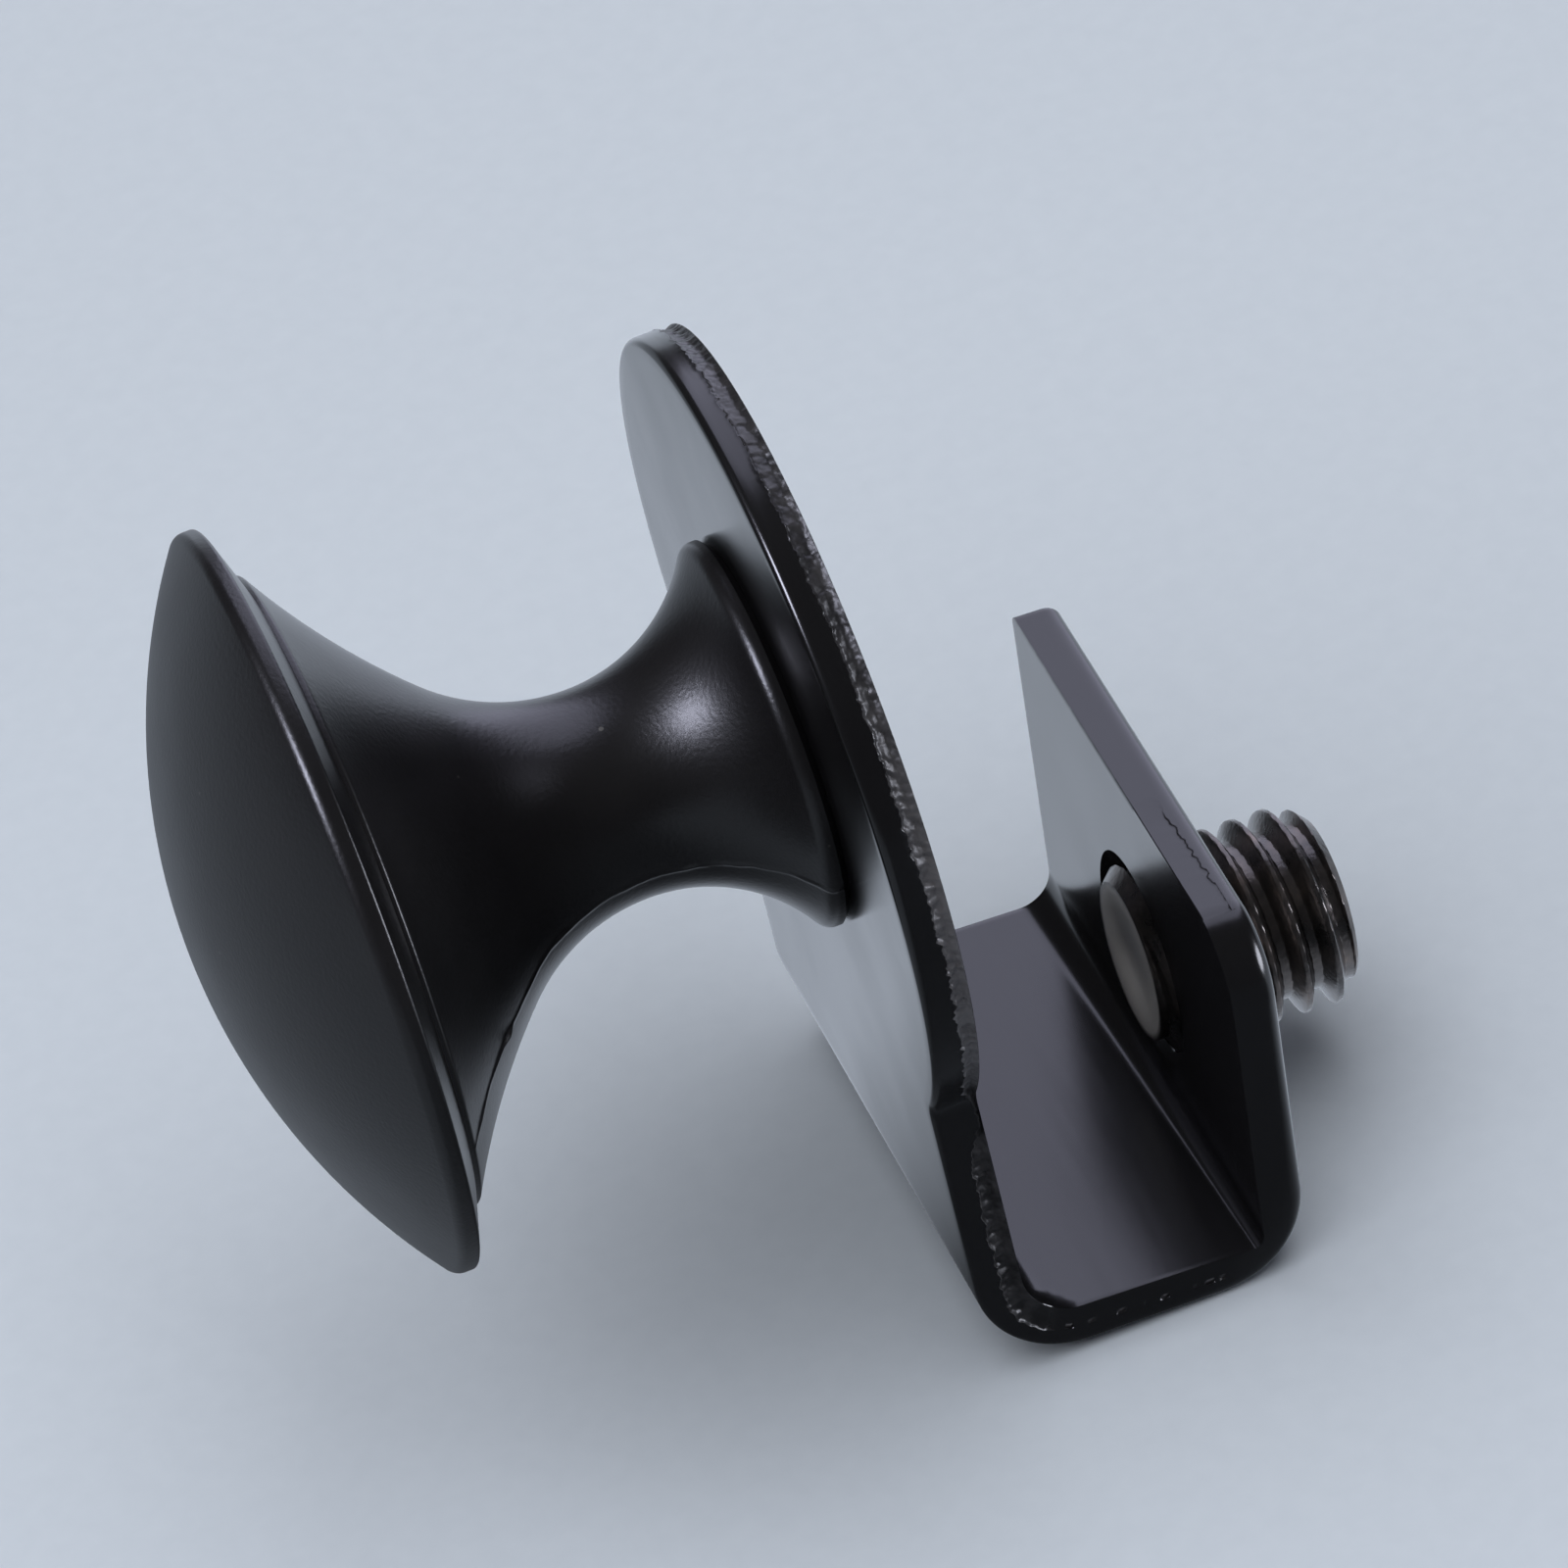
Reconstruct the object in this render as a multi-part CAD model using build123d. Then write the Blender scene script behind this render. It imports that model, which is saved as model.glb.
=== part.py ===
from build123d import *
import os
from math import cos, radians, sin, tan

# Glass door clamp handle, in millimetres. The knob points along -Y and the glass edge lies along X.
# The origin is on the knob's axis, on the face of the round plate that lies against the glass.

# Folded sheet bracket
sheet = 1.8
plate_radius = 15.3
strip_width = 23.0
strip_fillet = 1.5
web_below_axis = 21.6
glass_gap = 9.3
tab_height = 14.1
plate_bend_radius = 2.4
tab_bend_radius = 0.45
tab_bend_outer_radius = 3.8
open_bend_angle = 4.1
rounded_tab_corner = 3.0
sharp_tab_corner = 0.5
edge_roll = 0.3

# Set screw in the tab
screw_radius = 4.0
screw_length = 8.0
screw_above_web = 5.5
screw_tip_reach = 0.45
screw_chamfer = 0.9
screw_socket = 4.0
screw_socket_depth = 4.0
thread_clearance = 0.05
thread_countersink = 0.2

# Cast knob, with heights measured from its seat on the plate
foot_radius = 7.55
foot_edge = 0.75
foot_bevel = 0.25
waist_radius = 4.11
waist_height = 6.6
neck_radius = 6.22
neck_height = 11.8
ring_radius = 12.3
ring_height = 16.5
ring_step = 0.2
lip_corner_radius = 15.05
lip_round = 0.55
underside_rise = 0.9
dome_rise = 5.35

# Countersunk screw that holds the knob
bolt_radius = 2.0
bolt_length = 12.0
bolt_head_radius = 3.5
bolt_head_rim = 0.15
bolt_head_sunk = 0.15
bolt_tip_chamfer = 0.5
bolt_socket = 2.5
bolt_socket_depth = 1.2
bolt_hole_spare = 2.0
bolt_thread_clearance = 0.05
bolt_plate_clearance = 0.25

# Corners of the sheet's inner and outer skins before the bends round them. The web falls away behind
# the plate by the angle at which the first bend stands open, and the tab stands square on the web.
web_run = Vector(0, cos(radians(open_bend_angle)), -sin(radians(open_bend_angle)))
tab_rise = Vector(0, sin(radians(open_bend_angle)), cos(radians(open_bend_angle)))
web_front = Vector(0, 0, -web_below_axis)
web_back = web_front + web_run * glass_gap
tab_top = web_back + tab_rise * tab_height
plate_front = Vector(0, -sheet, 0)
outer_front = web_front - tab_rise * sheet - web_run * (sheet * tan(radians(90 - open_bend_angle) / 2))
outer_back = web_back - tab_rise * sheet + web_run * sheet
outer_top = tab_top + web_run * sheet
inner_radii = (plate_bend_radius, tab_bend_radius)
outer_radii = (plate_bend_radius + sheet, tab_bend_outer_radius)

# Working planes: the tab's inner face at the set screw, the plate's glass face at the knob screw,
# and the knob's seat on the plate's front face
screw_plane = Plane(web_back + tab_rise * screw_above_web, x_dir=(1, 0, 0), z_dir=web_run)
bolt_plane = Plane((0, 0, 0), x_dir=(1, 0, 0), z_dir=(0, 1, 0))
seat_plane = Plane(plate_front, x_dir=(1, 0, 0), z_dir=(0, -1, 0))


def turned(*points):
    """Solid of revolution about local Z, from the radius and height pairs of its half section."""
    return revolve(make_face(Plane.XZ * Polyline(*points, close=True)), Axis.Z)


def drilled(radius, depth):
    """Round cutter along local Z, from the origin up."""
    return turned((0, 0), (radius, 0), (radius, depth), (0, depth))


def hex_recess(across_flats, mouth, depth):
    """Hexagonal cutter along local Z, from its mouth down."""
    flats = RegularPolygon(across_flats / 2, 6, major_radius=False)
    return extrude(Pos(0, 0, mouth - depth) * flats, depth)


def folded_section():
    """Side view of the folded sheet. The sheet is pressed thinner where the web turns up into the tab."""
    inner = ((0, 0, 0), web_front, web_back, tab_top)
    outer = (outer_top, outer_back, outer_front, plate_front)
    section = make_face(Polyline(*inner, *outer, close=True))
    for corner, radius in zip((web_front, web_back, outer_front, outer_back), inner_radii + outer_radii):
        section = fillet(section.vertices().sort_by_distance(corner)[:1], radius)
    return section


def folded_blank():
    """Disc and strip in one sheet, folded, with the corners of its outline rounded."""
    strip = extrude(folded_section(), strip_width / 2, dir=(1, 0, 0), both=True)
    body = extrude(Plane.XZ * Circle(plate_radius), sheet) + strip
    necks = body.edges().filter_by(Axis.Y).group_by(Axis.Z)[-1]
    body = fillet(necks, strip_fillet)
    for side, radius in ((1, rounded_tab_corner), (-1, sharp_tab_corner)):
        corner = tab_top + Vector(side * strip_width / 2, 0, 0)
        through_sheet = body.edges().filter_by(Axis((0, 0, 0), web_run))
        body = fillet(through_sheet.sort_by_distance(corner)[:1], radius)
    return body


def rolled_edges(body):
    """Edges round the outer skin, which the punch draws over. The bend lines within it are left out."""
    outside = FilletPolyline(plate_front, outer_front, outer_back, outer_top, radius=outer_radii)
    skin = [face for face in body.faces() if outside.distance_to(face.center()) < sheet / 4]
    edges = [edge for face in skin for edge in face.edges()]
    return [edge for edge in edges if sum(edge.is_same(other) for other in edges) == 1]


def tapped_hole():
    """Hole for the set screw, countersunk on both faces of the tab."""
    radius = screw_radius + thread_clearance
    mouth = radius + thread_countersink
    return turned(
        (0, 0),
        (mouth, 0),
        (radius, thread_countersink),
        (radius, sheet - thread_countersink),
        (mouth, sheet),
        (0, sheet),
    )


def countersunk_hole():
    """Hole for the knob's screw, which sinks its head below the glass face."""
    mouth = bolt_head_radius + bolt_head_rim + bolt_head_sunk + bolt_thread_clearance
    radius = bolt_radius + bolt_plate_clearance
    return turned((0, 0), (mouth, 0), (radius, radius - mouth), (radius, -sheet), (0, -sheet))


def clamp_bracket():
    """Round plate, web and tab, punched from sheet as one blank and folded twice."""
    body = folded_blank()
    body = fillet(rolled_edges(body), edge_roll)
    return body - screw_plane * tapped_hole() - bolt_plane * countersunk_hole()


def clamp_screw():
    """Set screw with chamfered ends and a hexagon socket, whose tip stands out of the tab."""
    flat = screw_radius - screw_chamfer
    tip = -screw_tip_reach
    end = tip + screw_length
    shank = turned(
        (0, tip),
        (flat, tip),
        (screw_radius, tip + screw_chamfer),
        (screw_radius, end - screw_chamfer),
        (flat, end),
        (0, end),
    )
    return screw_plane * (shank - hex_recess(screw_socket, end, screw_socket_depth))


def knob_section():
    """Half section of the knob: foot, waist, trumpet neck, step ring, thin lip and shallow dome."""
    lip = Vector(lip_corner_radius, ring_height + ring_step + underside_rise)
    apex = Vector(0, lip.Y + dome_rise)
    foot = Vector(foot_radius, foot_edge)
    waist = Vector(waist_radius, waist_height)
    neck = Vector(neck_radius, neck_height)
    ring = Vector(ring_radius, ring_height)
    waist_arc = TangentArc(waist, neck, tangent=(0, 1))
    flare_arc = TangentArc(neck, ring, tangent=waist_arc % 1)
    section = make_face([
        Polyline((0, 0), (foot_radius - foot_bevel, 0), (foot_radius, foot_bevel), foot),
        TangentArc(waist, foot, tangent=(0, -1)),
        waist_arc,
        flare_arc,
        Polyline(ring, ring + Vector(0, ring_step), lip),
        TangentArc(apex, lip, tangent=(1, 0)),
        Line(apex, (0, 0)),
    ])
    return fillet(section.vertices().sort_by_distance(lip)[:1], lip_round)


def knob():
    """Cast knob with a blind tapped hole in its foot."""
    body = revolve(Plane.XZ * knob_section(), Axis.Z)
    depth = bolt_head_sunk + bolt_length + bolt_hole_spare - sheet
    return seat_plane * (body - drilled(bolt_radius + bolt_thread_clearance, depth))


def knob_screw():
    """Countersunk screw with a thin rim round its head and a hexagon socket."""
    top = -bolt_head_sunk
    cone_top = top - bolt_head_rim
    tip = top - bolt_length
    body = turned(
        (0, top),
        (bolt_head_radius, top),
        (bolt_head_radius, cone_top),
        (bolt_radius, cone_top - (bolt_head_radius - bolt_radius)),
        (bolt_radius, tip + bolt_tip_chamfer),
        (bolt_radius - bolt_tip_chamfer, tip),
        (0, tip),
    )
    return bolt_plane * (body - hex_recess(bolt_socket, top, bolt_socket_depth))


os.makedirs("parts", exist_ok=True)
for piece in (clamp_bracket, clamp_screw, knob, knob_screw):
    export_step(piece(), f"parts/{piece.__name__}.step")
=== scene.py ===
from math import asin, atan2, cos, exp, hypot, pi, radians, sin, sqrt, tan

import bmesh
import bpy
import numpy as np
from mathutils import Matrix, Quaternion, Vector, noise
from mathutils.geometry import delaunay_2d_cdt


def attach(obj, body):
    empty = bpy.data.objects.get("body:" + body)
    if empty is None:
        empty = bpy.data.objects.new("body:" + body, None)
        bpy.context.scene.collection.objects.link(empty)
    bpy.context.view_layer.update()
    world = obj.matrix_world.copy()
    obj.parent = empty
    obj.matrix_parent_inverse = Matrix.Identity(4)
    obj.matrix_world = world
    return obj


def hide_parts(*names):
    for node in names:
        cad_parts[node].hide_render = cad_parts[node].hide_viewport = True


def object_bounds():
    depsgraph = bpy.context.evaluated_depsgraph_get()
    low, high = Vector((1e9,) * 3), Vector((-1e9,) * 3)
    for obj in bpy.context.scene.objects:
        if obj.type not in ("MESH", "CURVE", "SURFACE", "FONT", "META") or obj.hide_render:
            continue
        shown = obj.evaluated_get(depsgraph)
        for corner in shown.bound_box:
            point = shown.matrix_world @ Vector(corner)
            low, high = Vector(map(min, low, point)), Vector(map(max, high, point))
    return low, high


# Glass door clamp handle. Sizes are in millimetres and go to metres when a mesh is made.
# The knob points along -Y, the glass edge lies along X, and the origin is on the knob's axis
# on the face of the round plate that lies against the glass.
MM = 0.001

# Folded sheet bracket
SHEET = 1.8
PLATE_RADIUS = 15.3
STRIP_WIDTH = 23.0
STRIP_FILLET = 1.5
WEB_BELOW_AXIS = 21.6
GLASS_GAP = 9.3
TAB_HEIGHT = 14.1
PLATE_BEND = 0.9
PLATE_BEND_NEAR = 2.4
PLATE_BEND_OUTER = 4.2
TAB_BEND = 0.45
TAB_BEND_FAR = 1.4
TAB_BEND_OUTER = 3.8
OPEN_BEND = radians(4.1)
ROUNDED_TAB_CORNER = 3.0
SHARP_TAB_CORNER = 0.5

# Sheared edge of the sheet: rolled over at the outer skin, burnished, then torn towards the inner skin.
# How far the tear reaches and how deep it is go with the way along the strip, from the plate's top to the tab.
# The torn metal is paler on the disc than past it: partly bare steel, partly painted light for the glints of
# the disc's torn band.
ROLL_INSET = 0.26
ROLL_DEPTH = 0.3
ROLL_AT_TAB = 2.1
TORN_ALONG = (-15.3, -10, -3, 7, 9.2, 10.4, 11.6, 12.6, 13.8, 19, 21, 22.4, 29, 30, 45)
TORN_SHARE = (0.42, 0.4, 0.38, 0.38, 0.34, 0.06, 0.04, 0.36, 0.44, 0.46, 0.5, 0.54, 0.54, 0.1, 0.1)
TORN_AMOUNT = (0.55, 0.75, 1, 1, 1, 0.6, 0.6, 1, 1, 1, 0.8, 0.0, 0.0, 0.0, 0.0)
TORN_RAGGED = 0.08
TORN_STEP = 0.06
TORN_RELIEF = 0.13
TORN_TAPER = 0.17
BORDER_RIDGE = 0.02
# Pale mark of the torn band along the strip: partly bare metal, partly painted light that makes the disc's torn
# band bright.
BARE_AND_PAINTED_LIGHT_ALONG = (7, 12)
BARE_AND_PAINTED_LIGHT_MARK = (0.74, 0.5)
CHIPS = (21.8, 29)
EDGE_PITCH = 0.075
SKIN_PITCH = 1.7
SKIN_MARGIN = 1.7
HOLE_MARGIN = 0.6
LAP_START = 1.5
LAP_STEP = 0.035
LAP_REACH = 1.5
CHIP_DEPTH = 0.156

# Set screw and its hole
SCREW_RADIUS = 3.92
SCREW_LENGTH = 8.0
SCREW_ABOVE_WEB = 5.5
SCREW_TIP = -0.45
SCREW_CHAMFER = 0.78
SCREW_SOCKET = 4.0
SOCKET_DEPTH = 4.0
THREAD_PITCH = 1.25
THREAD_DEPTH = 0.74
THREAD_TURN = radians(75)
THREAD_PLAY = 0.06
HOLE_RADIUS = 3.38
HOLE_MOUTH = 4.25
MOUTH_SLOPE = 1.6
RING_COUNT = 144
TIP_RINGS = ((0.15, 0.05), (1.0, 0.045), (1.04, 0.02), (2.1, 0.015), (2.14, 0.0))
TIP_RIM = 0.25
SOCKET_MOUTH = 0.12
SOCKET_BEVEL = 0.22

# Knob, with heights measured from its seat on the plate
FOOT_RADIUS = 7.55
FOOT_EDGE = 0.75
FOOT_BEVEL = 0.25
WAIST_RADIUS = 4.11
WAIST_HEIGHT = 6.6
NECK_RADIUS = 6.22
NECK_HEIGHT = 11.8
RING_RADIUS = 12.3
RING_HEIGHT = 16.5
RING_STEP = 0.2
LIP_CORNER_RADIUS = 15.05
LIP_ROUND = 0.55
LIP_EDGE = 0.16
FOOT_ROUND = 0.34
RING_ROUND = 0.07
UNDERSIDE_RISE = 0.9
DOME_RISE = 5.35
SEAM_ANGLE = radians(-16.5)
SEAM_HEIGHT = 0.07
SEAM_WIDTH = 0.13
SEAM_WANDER = 0.16
SEAM_SPREAD = 0.06
FLASH_AT = 13.7
FLASH_LENGTH = 0.35
FLASH_HEIGHT = 0.1

# Countersunk hole in the plate and blind hole in the knob, for the knob's screw
BOLT_MOUTH = 3.85
BOLT_HOLE = 2.25
KNOB_HOLE = 2.05
KNOB_HOLE_DEPTH = 12.2

# Camera at the photo's angle
AIM = (1.228, -2.153, -1.558)
CAMERA_DISTANCE = 431.6
CAMERA_AZIMUTH = radians(79.77)
CAMERA_ELEVATION = radians(39.21)
CAMERA_ROLL = radians(-14.49)
LENS = 270.0

TURN_WEB = pi / 2 - OPEN_BEND
TURN_TAB = pi / 2
PLATE_FLAT = WEB_BELOW_AXIS - PLATE_BEND * tan(TURN_WEB / 2)
WEB_FLAT = GLASS_GAP - PLATE_BEND * tan(TURN_WEB / 2) - TAB_BEND * tan(TURN_TAB / 2)
TAB_FLAT = TAB_HEIGHT - TAB_BEND * tan(TURN_TAB / 2)
WEB_START = PLATE_FLAT + PLATE_BEND * TURN_WEB
WEB_END = WEB_START + WEB_FLAT
TAB_START = WEB_END + TAB_BEND * TURN_TAB
STRIP_END = TAB_START + TAB_FLAT
SCREW_ALONG = TAB_START + SCREW_ABOVE_WEB - TAB_BEND * tan(TURN_TAB / 2)

# Each bend in Y and Z: its inner corner, the ways back and ahead along the inner skin, its outer radius,
# places across the strip, and its inner radius at each of them
PLATE_RISE = np.array((0.0, 1.0))
WEB_RUN = np.array((cos(OPEN_BEND), -sin(OPEN_BEND)))
TAB_RISE = np.array((sin(OPEN_BEND), cos(OPEN_BEND)))
WEB_FRONT = -WEB_BELOW_AXIS * PLATE_RISE
WEB_BACK = WEB_FRONT + GLASS_GAP * WEB_RUN
HALF_STRIP = STRIP_WIDTH / 2
NEAR_EDGE = (HALF_STRIP - SKIN_MARGIN, HALF_STRIP)
EDGE_TO_EDGE = (-HALF_STRIP, HALF_STRIP)
BENDS = (
    (WEB_FRONT, PLATE_RISE, WEB_RUN, PLATE_BEND_OUTER, NEAR_EDGE, (PLATE_BEND, PLATE_BEND_NEAR)),
    (WEB_BACK, -WEB_RUN, TAB_RISE, TAB_BEND_OUTER, EDGE_TO_EDGE, (TAB_BEND_FAR, TAB_BEND)),
)


def sample(scale, *point):
    """Smooth noise between -1 and 1 at a point in millimetres."""
    return noise.noise(Vector(point) * scale)


def facets(scale, *point):
    """Height of a field of broken facets, between 0 and 1."""
    near, far = noise.voronoi(Vector(point) * scale)[0][:2]
    return min(1.0, far - near)


def off_middle(flat, corner, back, ahead, reach):
    """Points from the middle of an arc that keeps a reach from both inner skins at a corner."""
    across = abs(back[0] * ahead[1] - back[1] * ahead[0])
    return flat - corner - np.outer(reach, (back + ahead) / across)


def pressed_share(flat, out, corner, back, ahead, radius):
    """Share of the sheet's thickness left along lines out of the inner skin, near a bend's outer round."""
    off = off_middle(flat, corner, back, ahead, np.full(len(flat), radius - SHEET))
    slope = np.sum(off * out, axis=1)
    inside_arc = slope ** 2 - np.sum(off * off, axis=1) + radius ** 2
    distance = np.sqrt(np.maximum(inside_arc, 0)) - slope
    hit = off + out * distance[:, None]
    on_arc = (hit @ back < 0) & (hit @ ahead < 0) & (inside_arc > 0)
    return np.where(on_arc, distance / SHEET, 1.0)


def softened(flat, corner, back, ahead, radius):
    """How far the inner skin moves off a corner where it is rounder than the bend."""
    off = off_middle(flat, corner, back, ahead, radius)
    size = np.hypot(*off.T)
    in_corner = (off @ back < 0) & (off @ ahead < 0) & (size > radius)
    return off * np.where(in_corner, radius / np.maximum(size, 1e-6) - 1, 0)[:, None]


def fold(points):
    """Places points of the flat sheet on the folded one.

    A point is its x, its way along the inner skin from the knob's axis, and its depth below that skin.
    """
    x, along, depth = np.asarray(points, float).T
    start, heading, begun = np.zeros(2), -pi / 2, -np.inf
    flat = np.zeros((len(x), 2))
    angle = np.zeros(len(x))
    for length, turn, radius in (
        (PLATE_FLAT, 0, 0),
        (0, TURN_WEB, PLATE_BEND),
        (WEB_FLAT, 0, 0),
        (0, TURN_TAB, TAB_BEND),
        (TAB_FLAT + SHEET, 0, 0),
    ):
        origin = 0.0 if begun == -np.inf else begun
        end = origin + length + radius * turn
        here = (along >= begun - 1e-9) & (along <= end + 1e-9)
        way = along[here] - origin
        if turn:
            middle = start + radius * np.array((-sin(heading), cos(heading)))
            angle[here] = heading + way / radius
            flat[here] = middle + radius * np.c_[np.sin(angle[here]), -np.cos(angle[here])]
            heading += turn
            start = middle + radius * np.array((sin(heading), -cos(heading)))
        else:
            ahead = np.array((cos(heading), sin(heading)))
            angle[here] = heading
            flat[here] = start + way[:, None] * ahead
            start = start + length * ahead
        begun = end
    out = np.c_[np.sin(angle), -np.cos(angle)]
    left = depth
    for corner, back, ahead, outer_radius, across, inner_radii in BENDS:
        radius = np.interp(x, across, inner_radii)
        flat += softened(flat, corner, back, ahead, radius) * (1 - depth / SHEET)[:, None]
        left = left * pressed_share(flat, out, corner, back, ahead, outer_radius)
    return np.c_[x, flat + out * left[:, None]]


def blank_outline():
    """Outline of the flat blank: points, outward directions and lengths, one every EDGE_PITCH."""
    half = HALF_STRIP
    fillet_x = half + STRIP_FILLET
    fillet_along = sqrt((PLATE_RADIUS + STRIP_FILLET) ** 2 - fillet_x ** 2)
    meet = atan2(fillet_along, fillet_x)
    right, left = ROUNDED_TAB_CORNER, SHARP_TAB_CORNER
    points, outward = [], []

    def arc(x, along, radius, start, end, sign=1):
        count = max(3, int(abs(end - start) * radius / EDGE_PITCH))
        for angle in np.linspace(start, end, count, endpoint=False):
            points.append((x + radius * cos(angle), along + radius * sin(angle)))
            outward.append((sign * cos(angle), sign * sin(angle)))

    def line(x0, along0, x1, along1, out_x, out_along, pitch=EDGE_PITCH):
        count = max(3, int(hypot(x1 - x0, along1 - along0) / pitch))
        for share in np.linspace(0, 1, count, endpoint=False):
            points.append((x0 + (x1 - x0) * share, along0 + (along1 - along0) * share))
            outward.append((out_x, out_along))

    arc(0, 0, PLATE_RADIUS, -pi / 2, meet)
    arc(fillet_x, fillet_along, STRIP_FILLET, meet + pi, pi, -1)
    line(half, fillet_along, half, PLATE_FLAT, 1, 0)
    line(half, PLATE_FLAT, half, WEB_START, 1, 0, EDGE_PITCH / 3)
    line(half, WEB_START, half, WEB_END, 1, 0)
    line(half, WEB_END, half, TAB_START, 1, 0, EDGE_PITCH / 3)
    line(half, TAB_START, half, STRIP_END - right, 1, 0)
    arc(half - right, STRIP_END - right, right, 0, pi / 2)
    line(half - right, STRIP_END, left - half, STRIP_END, 0, 1)
    arc(left - half, STRIP_END - left, left, pi / 2, pi)
    line(-half, STRIP_END - left, -half, TAB_START, -1, 0)
    line(-half, TAB_START, -half, WEB_END, -1, 0, EDGE_PITCH / 3)
    line(-half, WEB_END, -half, WEB_START, -1, 0)
    line(-half, WEB_START, -half, PLATE_FLAT, -1, 0, EDGE_PITCH / 3)
    line(-half, PLATE_FLAT, -half, fillet_along, -1, 0)
    arc(-fillet_x, fillet_along, STRIP_FILLET, 0, -meet, -1)
    arc(0, 0, PLATE_RADIUS, pi - meet, 3 * pi / 2)
    points, outward = np.array(points), np.array(outward)
    steps = np.hypot(*(points - np.roll(points, 1, 0)).T)
    return points, outward, np.cumsum(steps)


def border_share(length, x, along, torn):
    """Share of the sheet's thickness, from the inner skin, at which the burnished band ends."""
    if along > STRIP_END - 0.05:
        share = 0.5 + 0.025 * (x - LAP_START) + 0.08 * sample(1.5, x, 2.5, 0) + 0.07 * sample(4.3, x, 8.5, 0)
    else:
        share = np.interp(along, TORN_ALONG, TORN_SHARE)
    ragged = 0.5 * sample(0.45, length, 3.1, 0)
    ragged += 0.6 * sample(1.7, length, 7.7, 0)
    ragged += 0.7 * sample(4.5, length, 1.3, 0)
    return max(0.04, share + TORN_RAGGED * ragged * (0.3 + torn))


def torn_rows(length, along, torn, border, step):
    """Rows of the torn band, from its border to the inner skin, with chips along the web."""
    chip = 0.0
    if CHIPS[0] < along < CHIPS[1]:
        chip = min(1.0, max(0.0, 6 * sample(2.3, length, 4.4, 0) - 0.6))
    # Pale mark on the torn rows: bare metal, with painted light where it is higher on the disc.
    bare_and_painted_light = np.interp(along, BARE_AND_PAINTED_LIGHT_ALONG, BARE_AND_PAINTED_LIGHT_MARK) * torn
    rows = []
    for share in (0.05, 0.12, 0.2, 0.3, 0.4, 0.52, 0.64, 0.76, 0.88, 0.97):
        depth = border * (1 - share)
        slant = length + 0.35 * depth
        ridge = 0.9 * facets(1.0, slant * 2.1, depth * 1.3, 0) + 0.2
        ridge += 0.5 * sample(1.0, slant * 4, depth * 3, 5)
        fade = min(1.0, 6 * share) * min(1.0, 4 * (1 - share) + 0.1)
        drop = step * min(1.0, 10 * share) * (1 - 0.7 * share)
        drop += TORN_TAPER * torn * min(share / 0.6, (1 - share) / 0.4)
        drop += TORN_RELIEF * torn * max(0.0, ridge) * fade
        if share < 0.16:
            drop += chip * CHIP_DEPTH
        mark = max(bare_and_painted_light, chip) if share < 0.25 else bare_and_painted_light
        rows.append((BORDER_RIDGE + drop, depth, mark))
    return rows


def edge_section(length, x, along):
    """Section of the sheared edge at one place: rows of inset, depth and a mark of how torn and how pale the
    metal is; the paleness is bare steel at chips and painted light on the border crest and the disc's torn
    band.
    """
    torn = np.interp(along, TORN_ALONG, TORN_AMOUNT)
    step = TORN_STEP * torn
    if along > STRIP_END - 0.05:
        step = LAP_STEP * min(1.0, max(0.0, (x - LAP_START) / LAP_REACH))
    border = SHEET * border_share(length, x, along, torn)
    rolled = np.interp(along, (WEB_START, TAB_START), (1.0, ROLL_AT_TAB))
    roll_inset, roll_depth = ROLL_INSET * rolled, ROLL_DEPTH * rolled
    top = SHEET - roll_depth
    rows = [(1.2, SHEET, 0), (0.8, SHEET, 0)]
    for turn in np.linspace(0, pi / 2, 8):
        rows.append((roll_inset * (1 - sin(turn)) + BORDER_RIDGE, top + roll_depth * cos(turn), 0))
    for down, lift in ((0.35, 0), (0.7, 0), (0.88, 0.3), (0.95, 0.9), (1.0, 1.0)):
        # The border crest gets a pale mark: a painted highlight along the ridge.
        crest = 0.8 * torn if lift == 1.0 else 0.0
        rows.append((BORDER_RIDGE * (1 - lift * torn), top + (border - top) * down, crest))
    rows += torn_rows(length, along, torn, border, step)
    rows += [(0.07, 0, 0), (0.3, 0, 0), (0.7, 0, 0), (1.2, 0, 0)]
    to_corner = max(0.0, x + HALF_STRIP - SHARP_TAB_CORNER, STRIP_END - SHARP_TAB_CORNER - along)
    room = 0.95 * (SHARP_TAB_CORNER + to_corner)
    return [(min(inset, room), depth, mark) for inset, depth, mark in rows]


def inside(point, x, along, ring):
    """Whether a flat point lies inside a ring about its centre."""
    angles = np.linspace(0, 2 * pi, len(ring), endpoint=False)
    radii = np.hypot(*(ring - (x, along)).T)
    limit = np.interp(atan2(point[1] - along, point[0] - x) % (2 * pi), angles, radii, period=2 * pi)
    return hypot(point[0] - x, point[1] - along) < limit * 0.9995


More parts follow.
